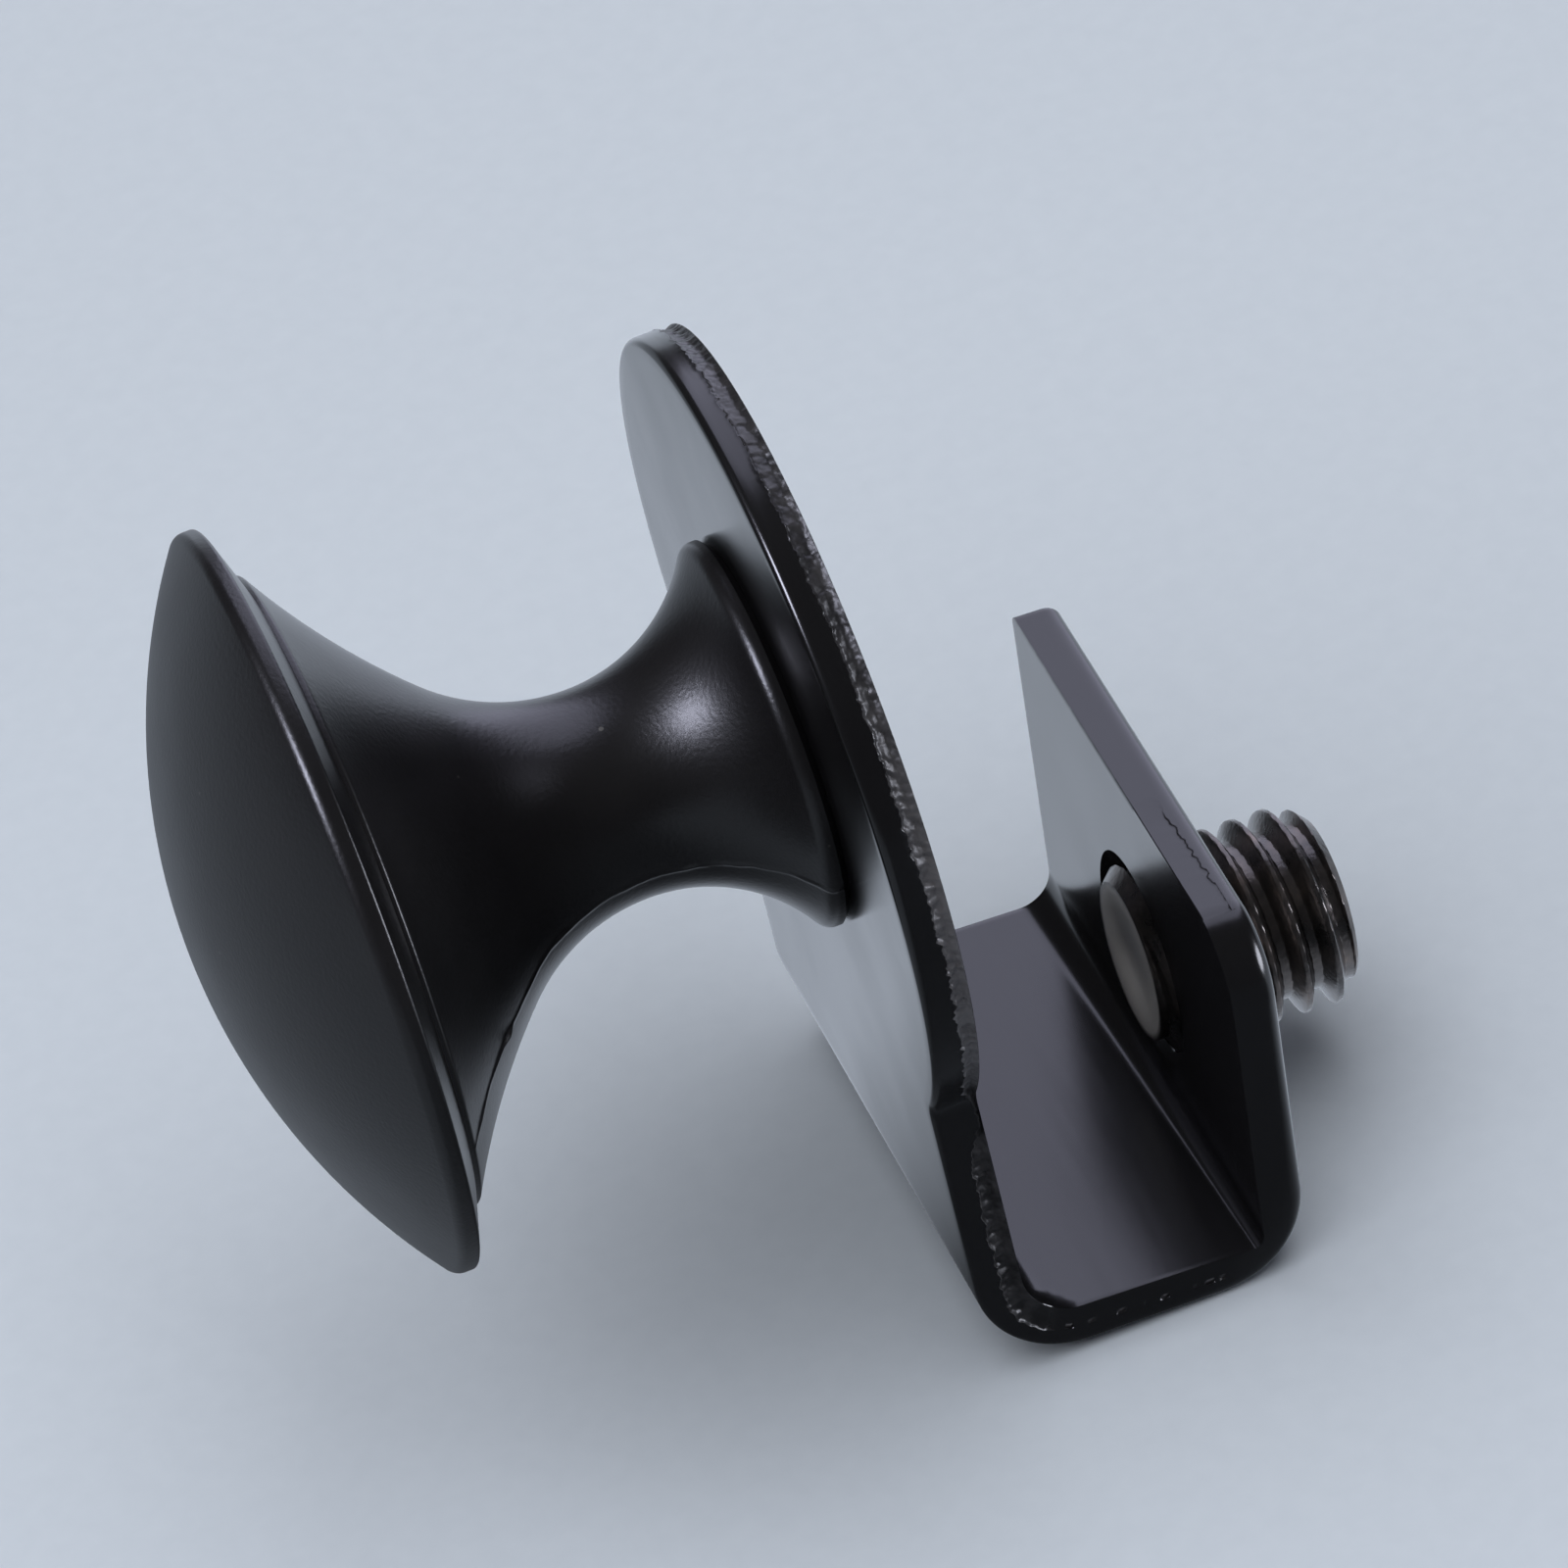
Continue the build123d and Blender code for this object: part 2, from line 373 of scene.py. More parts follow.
def skin_faces(loop, holes, depth):
    """Fills one skin of the sheet inside its loop and outside its holes, finely across the bends."""
    flat = [tuple(p) for p in loop]
    edges = [(i, (i + 1) % len(flat)) for i in range(len(flat))]
    for x, along, ring in holes:
        first = len(flat)
        flat += [tuple(p) for p in ring]
        edges += [(first + i, first + (i + 1) % len(ring)) for i in range(len(ring))]
    pressed = TAB_BEND_OUTER - SHEET
    rows = list(np.arange(-PLATE_RADIUS + 2, PLATE_FLAT - pressed - 0.4, SKIN_PITCH))
    rows += list(np.arange(WEB_START + pressed + 0.4, WEB_END - pressed, SKIN_PITCH))
    rows += list(np.arange(TAB_START + pressed + 0.4, STRIP_END - 1.6, SKIN_PITCH))
    rows += list(np.linspace(PLATE_FLAT - pressed, WEB_START + pressed, 48))
    rows += list(np.linspace(WEB_END - pressed, TAB_START + pressed, 48))
    kept_free = [(x, along, np.hypot(*(ring - (x, along)).T).max() + HOLE_MARGIN) for x, along, ring in holes]
    for along in rows:
        half = HALF_STRIP - SKIN_MARGIN
        if along < HALF_STRIP - 2:
            half = sqrt(max(0, (PLATE_RADIUS - SKIN_MARGIN) ** 2 - along ** 2))
        for x in np.linspace(-half, half, max(2, int(half / 0.8))):
            if all(hypot(x - hole_x, along - hole_along) > free for hole_x, hole_along, free in kept_free):
                flat.append((x, along))
    points, _, faces, *_ = delaunay_2d_cdt([Vector(p) for p in flat], edges, [], 1, 1e-6)
    kept = []
    for face in faces:
        mid = sum((points[i] for i in face), Vector((0, 0))) / len(face)
        if not any(inside(mid, *hole) for hole in holes):
            kept.append(list(face))
    return [(p.x, p.y, depth) for p in points], kept


def ring_grid(rings, closed=True):
    """Quads between neighbouring rings of points, numbered ring after ring."""
    count = len(rings[0])
    faces = []
    for i in range(len(rings) - 1):
        for j in range(count if closed else count - 1):
            a, b = i * count + j, i * count + (j + 1) % count
            faces.append((a, b, b + count, a + count))
    return faces


def make_mesh(name, parts, material, marks=None, sharp=32):
    """Object from several point and face lists in millimetres, welded where they meet."""
    points, faces, values = [], [], []
    for i, (part, part_faces) in enumerate(parts):
        faces += [[v + len(points) for v in face] for face in part_faces]
        points += [tuple(p) for p in part]
        values += list(marks[i]) if marks else [0.0] * len(part)
    mesh = bpy.data.meshes.new(name)
    mesh.from_pydata([Vector(p) * MM for p in points], [], faces)
    torn = mesh.attributes.new("torn", "FLOAT", "POINT")
    torn.data.foreach_set("value", np.array(values, np.float32))
    work = bmesh.new()
    work.from_mesh(mesh)
    bmesh.ops.remove_doubles(work, verts=work.verts, dist=0.002 * MM)
    bmesh.ops.recalc_face_normals(work, faces=work.faces)
    work.to_mesh(mesh)
    work.free()
    mesh.shade_smooth()
    mesh.set_sharp_from_angle(angle=radians(sharp))
    mesh.materials.append(material)
    piece = bpy.data.objects.new(name, mesh)
    bpy.context.collection.objects.link(piece)
    return piece


def circle(x, along, radii):
    """Ring of flat points about a centre, with one radius or one for each point."""
    angles = np.linspace(0, 2 * pi, RING_COUNT, endpoint=False)
    radii = np.broadcast_to(radii, angles.shape)
    return np.c_[x + radii * np.cos(angles), along + radii * np.sin(angles)]


def hole_radius(angle, depth):
    """Radius of the tapped hole: its core, the thread's groove about the screw, or a countersunk mouth."""
    turns = depth / THREAD_PITCH - (THREAD_TURN - angle) / (2 * pi)
    mouth = HOLE_MOUTH - MOUTH_SLOPE * min(depth, SHEET - depth)
    return max(HOLE_RADIUS, thread_radius(turns) + THREAD_PLAY, mouth)


def bracket_piece(material):
    """Folded bracket with rolled, burnished and torn edges, and its two holes."""
    points, outward, lengths = blank_outline()
    sections = [edge_section(length, *point) for length, point in zip(lengths, points)]
    rows, marks = [], []
    for row in range(len(sections[0])):
        inset = np.array([section[row][0] for section in sections])
        depth = np.array([section[row][1] for section in sections])
        rows.append(np.c_[points - outward * inset[:, None], depth])
        marks += [section[row][2] for section in sections]
    wall = np.concatenate(rows)

    angles = np.linspace(0, 2 * pi, RING_COUNT, endpoint=False)
    depths = np.linspace(0, SHEET, 37)
    screw_rings = [([hole_radius(angle, depth) for angle in angles], depth) for depth in depths]
    bolt_rings = [(BOLT_MOUTH, 0.0), (BOLT_HOLE, BOLT_MOUTH - BOLT_HOLE), (BOLT_HOLE, SHEET)]
    screw_hole = [circle(0, SCREW_ALONG, radius) for radius, _ in screw_rings]
    bolt_hole = [circle(0, 0, radius) for radius, _ in bolt_rings]
    parts = [(wall, ring_grid(rows))]
    for rings, sizes in ((screw_hole, screw_rings), (bolt_hole, bolt_rings)):
        placed = [np.c_[ring, np.full(len(ring), depth)] for ring, (_, depth) in zip(rings, sizes)]
        parts.append((np.concatenate(placed), ring_grid(placed)))
    outer_holes = [(0, SCREW_ALONG, screw_hole[-1]), (0, 0, bolt_hole[-1])]
    inner_holes = [(0, SCREW_ALONG, screw_hole[0]), (0, 0, bolt_hole[0])]
    parts.append(skin_faces(rows[0][:, :2], outer_holes, SHEET))
    parts.append(skin_faces(rows[-1][:, :2], inner_holes, 0.0))
    all_marks = [marks] + [np.zeros(len(part)) for part, _ in parts[1:]]
    parts = [(fold(part), faces) for part, faces in parts]
    return make_mesh("bracket", parts, material, all_marks)


def tangent_arc(start, tangent, end, count):
    """Points of the arc that leaves the start along its tangent and reaches the end, and its last direction."""
    start, end = np.array(start, float), np.array(end, float)
    tangent = np.array(tangent, float) / hypot(*tangent)
    chord = end - start
    normal = np.array((-tangent[1], tangent[0]))
    radius = chord @ chord / (2 * (chord @ normal))
    turn = 2 * atan2(chord @ normal, chord @ tangent)
    angles = np.linspace(0, turn, count)
    points = start + radius * (np.sin(angles)[:, None] * tangent + (1 - np.cos(angles))[:, None] * normal)
    return points, cos(turn) * tangent + sin(turn) * normal


def eased(start, corner, end, count):
    """Points of a smooth turn from the start past the corner to the end, both ends left out."""
    start, corner, end = np.array(start), np.array(corner), np.array(end)
    shares = np.linspace(0, 1, count + 2)[1:-1, None]
    return (1 - shares) ** 2 * start + 2 * shares * (1 - shares) * corner + shares ** 2 * end


def short_of(points, end, reach):
    """Points that stay farther than a reach from the end."""
    return points[np.hypot(*(points - np.array(end)).T) > reach]


def lip_nose(ring_top, lip, apex):
    """Nose of the lip from underside to dome: a crisp lower edge, a short wall and a full round."""
    fall = apex[1] - lip[1]
    dome_radius = (lip[0] ** 2 + fall ** 2) / (2 * fall)
    dome_mid = np.array((0, apex[1] - dome_radius))
    along = (lip - ring_top) / np.hypot(*(lip - ring_top))
    across = np.array((-along[1], along[0]))
    base = ring_top + across * LIP_ROUND - dome_mid
    b, c = base @ along, base @ base - (dome_radius - LIP_ROUND) ** 2
    mid = dome_mid + base + along * (sqrt(b * b - c) - b)
    wall = mid[0] + LIP_ROUND
    edge_x = wall - LIP_EDGE
    edge_y = ring_top[1] + (edge_x - ring_top[0]) * along[1] / along[0] + LIP_EDGE / along[0]
    on_dome = atan2(*(mid - dome_mid)[::-1])
    low = np.linspace(atan2(*-across[::-1]), 0, 7)
    high = np.linspace(0, on_dome, 12)
    nose = [(edge_x + LIP_EDGE * cos(a), edge_y + LIP_EDGE * sin(a)) for a in low]
    nose += [(mid[0] + LIP_ROUND * cos(a), mid[1] + LIP_ROUND * sin(a)) for a in high]
    return np.array(nose), dome_mid, dome_radius


def knob_profile():
    """Half section of the knob as radius and height, from the foot's hole to the dome's top."""
    lip = np.array((LIP_CORNER_RADIUS, RING_HEIGHT + RING_STEP + UNDERSIDE_RISE))
    apex = np.array((0.0, lip[1] + DOME_RISE))
    foot, waist = (FOOT_RADIUS, FOOT_EDGE), (WAIST_RADIUS, WAIST_HEIGHT)
    neck, ring = (NECK_RADIUS, NECK_HEIGHT), np.array((RING_RADIUS, RING_HEIGHT))
    foot_arc = short_of(tangent_arc(waist, (0, -1), foot, 60)[0], foot, FOOT_ROUND)[::-1]
    foot_low = (FOOT_RADIUS, FOOT_EDGE - FOOT_ROUND)
    waist_arc, leaving = tangent_arc(waist, (0, 1), neck, 28)
    flare_arc = short_of(tangent_arc(neck, leaving, ring, 50)[0], ring, RING_ROUND)
    ring_low = ring + (0, RING_ROUND)
    ring_top = ring + (0, RING_STEP)
    nose, dome_mid, dome_radius = lip_nose(ring_top, lip, apex)
    under = [ring_top + (nose[0] - ring_top) * share for share in (0, 0.04, 0.35, 0.7, 0.95)]
    reach = asin(nose[-1][0] / dome_radius)
    dome = [dome_mid + dome_radius * np.array((sin(a), cos(a))) for a in np.linspace(reach, 0.004, 40)[1:]]
    base = [(KNOB_HOLE, 0), (FOOT_RADIUS - FOOT_BEVEL, 0), (FOOT_RADIUS, FOOT_BEVEL)]
    foot_turn = [foot_low, *eased(foot_low, foot, foot_arc[0], 6)]
    ring_turn = [*eased(flare_arc[-1], ring, ring_low, 4), ring_low]
    stem = [*base, *foot_turn, *foot_arc[:-1], *waist_arc, *flare_arc[1:]]
    return np.array([*stem, *ring_turn, *under, *nose, *dome])


def seam_lift(radius, height, angle):
    """How far the mould seam stands out of the neck, with a scrap of flash on the near side."""
    if not FOOT_BEVEL < height < RING_HEIGHT or radius >= RING_RADIUS:
        return 0.0
    lift = 0.0
    for i, half in enumerate((0, pi)):
        wander = SEAM_WANDER * (sample(0.5, height, i, 2) + 0.4 * sample(2.2, height, i, 9))
        off = radius * np.angle(np.exp(1j * (angle - SEAM_ANGLE - half))) - wander
        if abs(off) < 4 * SEAM_WIDTH:
            size = SEAM_HEIGHT * (0.75 + 0.6 * sample(1.3, height, i, 4))
            flash = FLASH_HEIGHT * max(0, 1 - abs(height - FLASH_AT) / FLASH_LENGTH) * (1 - i)
            lift += (size + flash) * exp(-((off / SEAM_WIDTH) ** 2))
    return lift


def knob_piece(material):
    """Die-cast knob with the seam of its two mould halves down the neck."""
    profile = knob_profile()
    steps = np.gradient(profile, axis=0)
    normals = np.c_[steps[:, 1], -steps[:, 0]] / np.hypot(*steps.T)[:, None]
    spread = np.linspace(-1, 1, 25)
    seams = [SEAM_ANGLE + half + SEAM_SPREAD * spread * np.abs(spread) for half in (0, pi)]
    plain = np.linspace(0, 2 * pi, 168, endpoint=False) + SEAM_ANGLE
    clear = np.min([np.abs(np.angle(np.exp(1j * (plain - seam[12])))) for seam in seams], axis=0)
    angles = np.sort(np.concatenate([plain[clear > SEAM_SPREAD + 0.005], *seams]))
    rings = []
    for (radius, height), normal in zip(profile, normals):
        ring = []
        for angle in angles:
            lift = seam_lift(radius, height, angle)
            at, up = radius + normal[0] * lift, height + normal[1] * lift
            ring.append((at * cos(angle), -SHEET - up, at * sin(angle)))
        rings.append(ring)
    points = [p for ring in rings for p in ring]
    count = len(angles)
    faces = ring_grid(rings)
    faces.append([(len(rings) - 1) * count + j for j in range(count)])
    hole = [(KNOB_HOLE * cos(angle), -SHEET - height, KNOB_HOLE * sin(angle))
            for height in (0, KNOB_HOLE_DEPTH) for angle in angles]
    bore = ring_grid([hole[:count], hole[count:]]) + [[count + j for j in range(count)]]
    return make_mesh("knob_casting", [(points, faces), (hole, bore)], material, sharp=28)


def thread_radius(turns):
    """Radius of the thread at a number of turns from a crest."""
    off = abs((turns + 0.5) % 1 - 0.5)
    flank = min(1.0, max(0.0, (off - 0.07) / 0.29))
    ease = flank * flank * (3 - 2 * flank)
    return SCREW_RADIUS - THREAD_DEPTH * (0.6 * flank + 0.4 * ease)


def set_screw_piece(material):
    """Set screw with its whole thread, chamfered ends and a hexagon socket in the outer end."""
    count = RING_COUNT
    angles = np.linspace(0, 2 * pi, count, endpoint=False)
    flat = SCREW_RADIUS - SCREW_CHAMFER
    end = SCREW_TIP + SCREW_LENGTH
    tip_rings = (*TIP_RINGS, (flat - TIP_RIM, 0.0))
    rings = [[(r * cos(a), r * sin(a), SCREW_TIP + dish) for a in angles] for r, dish in tip_rings]
    for height in np.linspace(SCREW_TIP, end, 190):
        ring = []
        for angle in angles:
            chamfer = flat + min(height - SCREW_TIP, end - height)
            turns = height / THREAD_PITCH - (angle + THREAD_TURN) / (2 * pi)
            radius = min(thread_radius(turns), chamfer)
            ring.append((radius * cos(angle), radius * sin(angle), height))
        rings.append(ring)
    corner = np.array([SCREW_SOCKET / 2 / cos((a + pi / 6) % (pi / 3) - pi / 6) for a in angles])
    mouth = np.full(count, corner.max() + SOCKET_MOUTH)
    for radii, height in (
        (mouth, end),
        (corner, end - SOCKET_BEVEL),
        (corner, end - SOCKET_DEPTH),
        (corner * 0.55, end - SOCKET_DEPTH - 0.3),
        (corner * 0.05, end - SOCKET_DEPTH - 0.6),
    ):
        rings.append([(r * cos(a), r * sin(a), height) for r, a in zip(radii, angles)])
    faces = ring_grid(rings) + [list(range(count)), list(range((len(rings) - 1) * count, len(rings) * count))]
    origin = fold([(0, SCREW_ALONG, 0)])[0]
    outwards, upwards = np.array((0, *WEB_RUN)), np.array((0, *TAB_RISE))
    placed = [origin + np.array((x, 0, 0)) - upwards * y + outwards * z for ring in rings for x, y, z in ring]
    marks = [1.0 if i < len(tip_rings) else 0.0 for i in range(len(rings)) for _ in angles]
    return make_mesh("set_screw_thread", [(placed, faces)], material, [marks], sharp=34)


class Shader:
    """Small helper that adds nodes to one material."""

    def __init__(self, name):
        self.material = bpy.data.materials.new(name)
        self.material.use_nodes = True
        self.nodes = self.material.node_tree.nodes
        self.links = self.material.node_tree.links
        self.body = self.nodes["Principled BSDF"]
        self.place = self.add("ShaderNodeTexCoord").outputs["Object"]

    def add(self, kind, **sockets):
        node = self.nodes.new(kind)
        for name, value in sockets.items():
            self.put(node, name.replace("_", " "), value)
        return node

    def put(self, node, socket, value):
        if isinstance(value, bpy.types.NodeSocket):
            self.links.new(value, node.inputs[socket])
        else:
            node.inputs[socket].default_value = value

    def noise(self, scale, detail=2.0, roughness=0.5):
        sizes = {"Scale": scale, "Detail": detail, "Roughness": roughness}
        return self.add("ShaderNodeTexNoise", Vector=self.place, **sizes)

    def ramp(self, factor, *stops):
        node = self.add("ShaderNodeValToRGB", Fac=factor)
        while len(node.color_ramp.elements) < len(stops):
            node.color_ramp.elements.new(0.5)
        for element, (at, colour) in zip(node.color_ramp.elements, stops):
            element.position = at
            element.color = (*colour, 1) if isinstance(colour, tuple) else (colour, colour, colour, 1)
        return node.outputs["Color"]

    def mix(self, factor, first, second):
        node = self.nodes.new("ShaderNodeMix")
        node.data_type = "RGBA"
        for socket, value in zip((node.inputs[0], node.inputs[6], node.inputs[7]), (factor, first, second)):
            if isinstance(value, bpy.types.NodeSocket):
                self.links.new(value, socket)
            else:
                socket.default_value = value
        return node.outputs[2]

    def bump(self, height, strength, distance, below=None):
        node = self.add("ShaderNodeBump", Height=height, Strength=strength, Distance=distance)
        if below is not None:
            self.links.new(below, node.inputs["Normal"])
        return node.outputs["Normal"]


def knob_material():
    """Satin black paint over a die casting: orange peel, faint cloudiness and a few specks of dust."""
    shader = Shader("knob_paint")
    cloud = shader.noise(220, 3)
    peel = shader.noise(5200, 3)
    dust = shader.add("ShaderNodeTexVoronoi", Vector=shader.place, Scale=420.0)
    speck = shader.ramp(dust.outputs["Distance"], (0.0, 1.0), (0.035, 1.0), (0.05, 0.0))
    rare = shader.ramp(shader.noise(150, 1).outputs["Fac"], (0.58, 0.0), (0.62, 0.5))
    colour = shader.ramp(cloud.outputs["Fac"], (0.3, (0.0065, 0.006, 0.0068)), (0.7, (0.0095, 0.0088, 0.0096)))
    spots = shader.mix(rare, (0, 0, 0, 1), speck)
    shader.put(shader.body, "Base Color", shader.mix(spots, colour, (0.16, 0.155, 0.15, 1)))
    shader.put(shader.body, "Roughness", shader.ramp(cloud.outputs["Fac"], (0.3, 0.31), (0.7, 0.36)))
    shader.put(shader.body, "Normal", shader.bump(peel.outputs["Fac"], 0.22, 0.00005))
    return shader.material


def bracket_material():
    """Gloss black coat on steel sheet, grainy on torn edges, with cloudy gloss and faint scratches. The torn
    grain has painted shade in its hollows and painted light on its raised points; pale bare metal shows on
    chips and stands in as painted light on the border crest and the disc's torn band.
    """
    shader = Shader("bracket_coat")
    torn = shader.add("ShaderNodeAttribute")
    torn.attribute_name = "torn"
    # Pale colour where the mark passes 0.55: bare metal on chips, painted light on the border crest and on the
    # disc's torn band.
    bare_and_painted_light = shader.ramp(torn.outputs["Fac"], (0.55, 0.0), (1.0, 1.0))
    torn = shader.ramp(torn.outputs["Fac"], (0.0, 0.0), (0.5, 1.0))
    grain = shader.noise(1400, 2, 0.5)
    cloud = shader.noise(160, 3)
    ripple = shader.noise(900, 2)
    stretch = shader.add("ShaderNodeMapping", Vector=shader.place, Scale=(1.0, 14.0, 1.0),
                         Rotation=(0.0, 0.0, 0.7))
    scratch = shader.add("ShaderNodeTexNoise", Vector=stretch.outputs["Vector"], Scale=160.0, Detail=3.0)
    colour = shader.ramp(cloud.outputs["Fac"], (0.3, (0.0062, 0.006, 0.0068)), (0.7, (0.008, 0.0078, 0.0087)))
    # Torn grain colour follows the grain that also drives the bump: painted shade in the hollows, painted light
    # on the raised points.
    painted_shade_hollow, painted_light_raised = (0.01, 0.0095, 0.0105), (0.035, 0.033, 0.035)
    rough_colour = shader.ramp(grain.outputs["Fac"], (0.35, painted_shade_hollow), (0.65, painted_light_raised))
    rough_colour = shader.mix(bare_and_painted_light, rough_colour, (0.24, 0.23, 0.24, 1))
    shader.put(shader.body, "Base Color", shader.mix(torn, colour, rough_colour))
    smooth = shader.ramp(scratch.outputs["Fac"], (0.35, 0.19), (0.7, 0.225))
    shader.put(shader.body, "Roughness", shader.mix(torn, smooth, (0.42, 0.42, 0.42, 1)))
    fine = shader.bump(ripple.outputs["Fac"], 0.03, 0.00006)
    torn_grain = shader.mix(torn, (0.5, 0.5, 0.5, 1), grain.outputs["Fac"])
    shader.put(shader.body, "Normal", shader.bump(torn_grain, 0.7, 0.0003, fine))
    return shader.material


def screw_material():
    """Black oxide on machined steel, browner where it wears, and pale non-metallic grey on the tip."""
    shader = Shader("screw_oxide")
    pale_tip_mark = shader.add("ShaderNodeAttribute")
    pale_tip_mark.attribute_name = "torn"
    cloud = shader.noise(700, 4, 0.6)
    grain = shader.noise(4200, 3)
    black, brown, worn = (0.07, 0.067, 0.066), (0.13, 0.115, 0.107), (0.2, 0.165, 0.145)
    colour = shader.ramp(cloud.outputs["Fac"], (0.35, black), (0.6, brown), (0.75, worn))
    shader.put(shader.body, "Base Color", shader.mix(pale_tip_mark.outputs["Fac"], colour, (0.5, 0.48, 0.46, 1)))
    shader.put(shader.body, "Metallic", shader.ramp(pale_tip_mark.outputs["Fac"], (0.0, 0.9), (1.0, 0.0)))
    satin = shader.ramp(cloud.outputs["Fac"], (0.3, 0.24), (0.7, 0.36))
    shader.put(shader.body, "Roughness", shader.mix(pale_tip_mark.outputs["Fac"], satin, (0.5, 0.5, 0.5, 1)))
    shader.put(shader.body, "Normal", shader.bump(grain.outputs["Fac"], 0.25, 0.00008))
    return shader.material


def floor_piece():
    """Plain pale floor under the bracket. Glossy rays see a glowing painted reflection of it instead, with
    painted shadow on the object's +X side and painted shade towards -Y.
    """
    shader = Shader("floor_paper_painted_reflection")
    fibre = shader.noise(900, 3)
    tint = shader.ramp(fibre.outputs["Fac"], (0.3, (0.715, 0.78, 0.865)), (0.7, (0.735, 0.8, 0.885)))
    shader.put(shader.body, "Base Color", tint)
    shader.put(shader.body, "Roughness", 0.9)
    shader.put(shader.body, "Specular IOR Level", 0.1)
    around = shader.add("ShaderNodeMapping", Vector=shader.place, Location=(0.5, 0.5, 0), Scale=(10, 10, 1))
    around = shader.add("ShaderNodeSeparateXYZ", Vector=around.outputs["Vector"])
    slant = shader.add("ShaderNodeMapping", Vector=shader.place, Location=(0.5, 0.5, 0), Scale=(10, 10, 1),
                       Rotation=(0, 0, radians(35)))
    slant = shader.add("ShaderNodeSeparateXYZ", Vector=slant.outputs["Vector"])
    # Painted shadow of the object on the floor as seen in reflections, on the +X side and fading out towards
    # -Y.
    beside = shader.ramp(slant.outputs["X"], (0.44, 0.0), (0.56, 1.0))
    level = shader.ramp(around.outputs["Y"], (0.2, 0.0), (0.38, 1.0))
    shade = shader.mix(beside, (0, 0, 0, 1), level)
    across = shader.mix(shade, (1, 1, 1, 1), (0.11, 0.11, 0.11, 1))
    # Painted shade of the floor in reflections, darker towards -Y under the knob.
    along = shader.ramp(around.outputs["Y"], (0.3, (0.33, 0.37, 0.43)), (0.44, (0.74, 0.82, 0.95)))
    # Glossy rays see this emission instead of the floor: a glowing painted reflection of the lit floor with its
    # painted shadows.
    painted_reflection_glow = shader.add("ShaderNodeEmission", Color=shader.mix(across, (0, 0, 0, 1), along))
    choice = shader.nodes.new("ShaderNodeMixShader")
    shader.links.new(shader.nodes.new("ShaderNodeLightPath").outputs["Is Glossy Ray"], choice.inputs["Fac"])
    shader.links.new(shader.body.outputs["BSDF"], choice.inputs[1])
    shader.links.new(painted_reflection_glow.outputs["Emission"], choice.inputs[2])
    shader.links.new(choice.outputs["Shader"], shader.nodes["Material Output"].inputs["Surface"])
    bpy.ops.mesh.primitive_plane_add(size=4, location=(0, 0, box_at_load[0].z - 0.05 * MM))
    floor = bpy.context.object
    floor.name = "floor"
    floor.data.materials.append(shader.material)


def toward(azimuth, elevation):
    """Direction from the object: azimuth 0 is in front of the knob, on the -Y side."""
    return Vector((sin(azimuth) * cos(elevation), -cos(azimuth) * cos(elevation), sin(elevation)))


def soft_light(name, azimuth, elevation, distance, width, height, power, colour, glossy=True, diffuse=True):
    """Oval area light that faces the object."""
    lamp = bpy.data.lights.new(name, "AREA")
    lamp.shape, lamp.size, lamp.size_y, lamp.energy, lamp.color = "ELLIPSE", width, height, power, colour
    light = bpy.data.objects.new(name, lamp)
    away = toward(radians(azimuth), radians(elevation))
    light.location = away * distance
    light.rotation_euler = away.to_track_quat("Z", "Y").to_euler()
    light.visible_glossy, light.visible_diffuse = glossy, diffuse
    bpy.context.collection.objects.link(light)


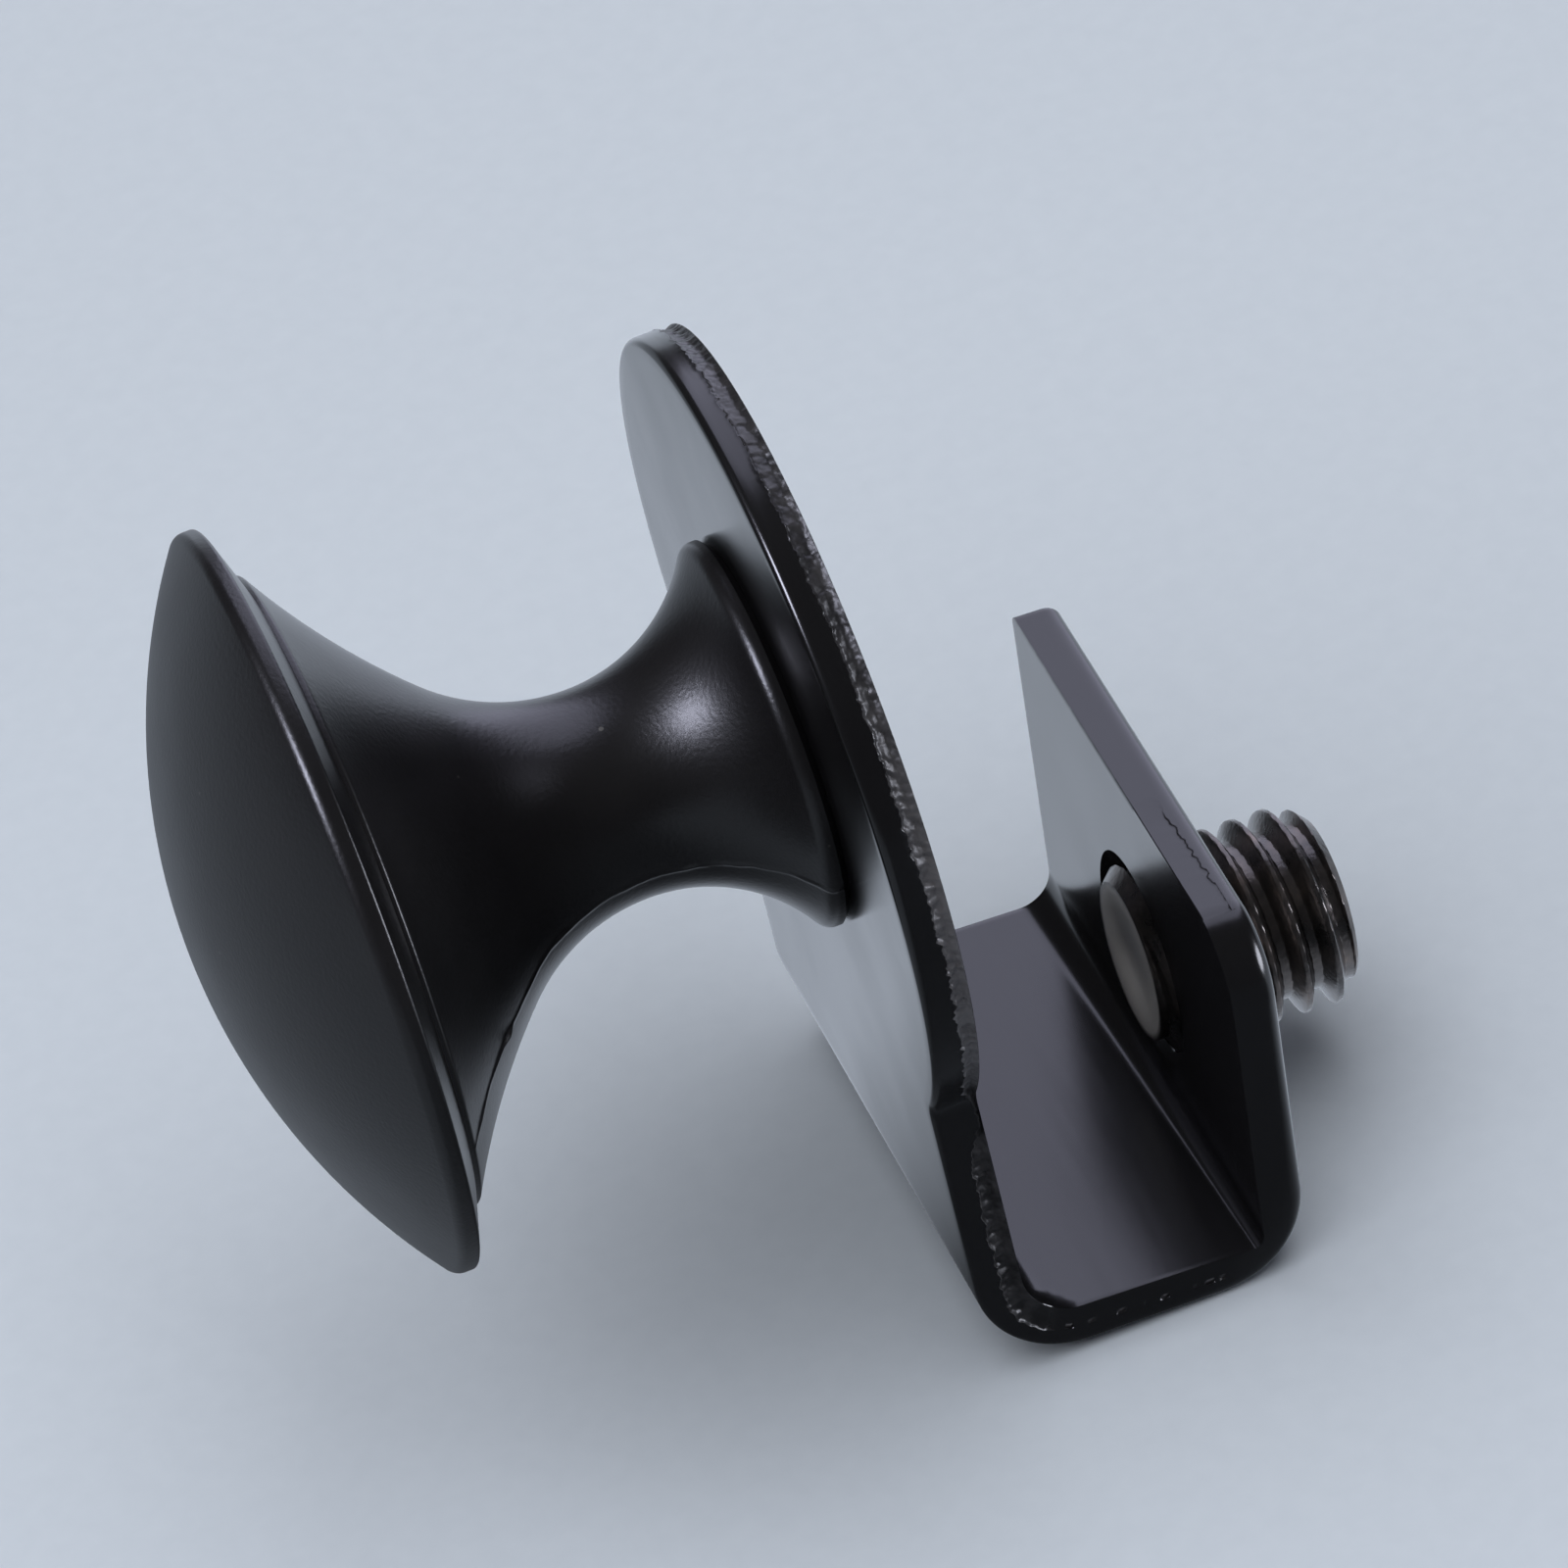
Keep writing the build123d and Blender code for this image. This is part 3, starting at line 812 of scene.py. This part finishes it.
def studio():
    """Key, window and low rim light, which show in reflections only, and a wide fill that lights the floor."""
    soft_light("key", 4, 43, 0.7, 0.26, 0.26, 4.6, (0.8, 0.82, 1.0), diffuse=False)
    soft_light("window", -122, 32, 0.9, 0.8, 1.5, 5.8, (0.76, 0.775, 1.0), diffuse=False)
    soft_light("rim", 155, 11, 0.9, 0.52, 0.42, 7.0, (0.85, 0.88, 1.0), diffuse=False)
    soft_light("fill", 20, 75, 1.2, 2.2, 2.2, 20.0, (0.97, 0.98, 1.0), glossy=False)
    world = bpy.data.worlds.new("room")
    world.use_nodes = True
    nodes, links = world.node_tree.nodes, world.node_tree.links
    surround = nodes["Background"]
    surround.inputs["Color"].default_value = (0.05, 0.05, 0.055, 1)
    backdrop = nodes.new("ShaderNodeBackground")
    backdrop.inputs["Color"].default_value = (0.66, 0.72, 0.82, 1)
    choice = nodes.new("ShaderNodeMixShader")
    links.new(nodes.new("ShaderNodeLightPath").outputs["Is Camera Ray"], choice.inputs["Fac"])
    links.new(surround.outputs["Background"], choice.inputs[1])
    links.new(backdrop.outputs["Background"], choice.inputs[2])
    links.new(choice.outputs["Shader"], nodes["World Output"].inputs["Surface"])
    bpy.context.scene.world = world


def photo_camera():
    """Camera at the photo's angle, with the long lens the plate's ellipse asks for."""
    camera = bpy.data.cameras.new("photo")
    camera.lens, camera.sensor_width = LENS, 36
    holder = bpy.data.objects.new("photo", camera)
    away = toward(CAMERA_AZIMUTH, CAMERA_ELEVATION)
    holder.location = (Vector(AIM) + away * CAMERA_DISTANCE) * MM
    turn = away.to_track_quat("Z", "Y") @ Quaternion((0, 0, 1), CAMERA_ROLL)
    holder.rotation_euler = turn.to_euler()
    bpy.context.collection.objects.link(holder)
    bpy.context.scene.camera = holder


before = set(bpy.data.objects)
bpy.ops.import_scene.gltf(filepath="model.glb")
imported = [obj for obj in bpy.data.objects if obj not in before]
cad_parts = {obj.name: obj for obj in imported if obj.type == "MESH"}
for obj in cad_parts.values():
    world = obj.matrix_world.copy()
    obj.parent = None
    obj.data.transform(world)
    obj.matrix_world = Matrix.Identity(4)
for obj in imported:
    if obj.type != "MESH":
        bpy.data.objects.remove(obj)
box_at_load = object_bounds()

coat, paint, oxide = bracket_material(), knob_material(), screw_material()
for piece, node, body, slot in (
    (bracket_piece(coat), "clamp_bracket", "handle", "bracket_black"),
    (knob_piece(paint), "knob", "handle", "knob_black"),
    (set_screw_piece(oxide), "clamp_screw", "set_screw", "screw_black"),
):
    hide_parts(node)
    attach(piece, body)
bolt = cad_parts["knob_screw"]
bolt.data.materials.clear()
bolt.data.materials.append(oxide)

floor_piece()
studio()
photo_camera()
bpy.context.scene.view_settings.view_transform = "Standard"
